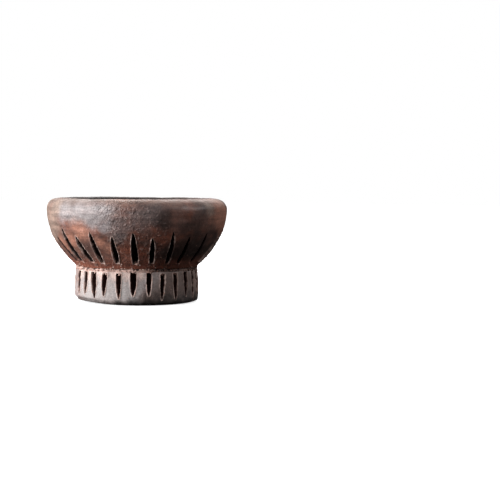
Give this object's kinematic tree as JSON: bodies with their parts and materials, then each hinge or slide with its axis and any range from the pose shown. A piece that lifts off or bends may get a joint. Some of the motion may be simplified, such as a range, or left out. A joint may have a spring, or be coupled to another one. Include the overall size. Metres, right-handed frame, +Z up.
{
  "type": "diya oil lamp",
  "caption": "Clay oil lamp: a round bowl with a curled rim and knife slashes, luted onto a slotted hollow foot ring, with a standing cotton wick.",
  "frame": {"origin": "centre of the face that the foot ring stands on", "axes": "+Z up along the lamp's axis of turning, -Y towards the front"},
  "size_m": [0.1, 0.1, 0.057],
  "materials": {
    "burnished_clay": "burnished smoke-fired earthenware, red-brown with charcoal and grey-lilac clouds",
    "matt_clay": "matt grey-brown earthenware with ashy bloom",
    "slip_clay": "crumbly pale slip, unburnished",
    "cotton": "loose twisted cotton fibre"
  },
  "bodies": {
    "lamp_body": {"bowl": "burnished_clay", "foot_ring": "matt_clay", "luting_coil": "slip_clay"},
    "wick": {"wick": "cotton"}
  },
  "joints": [
    {"name": "wick_lift", "type": "slide", "parent": "lamp_body", "child": "wick", "axis": [0, 0, 1], "range_m": [0, 0.045]}
  ]
}
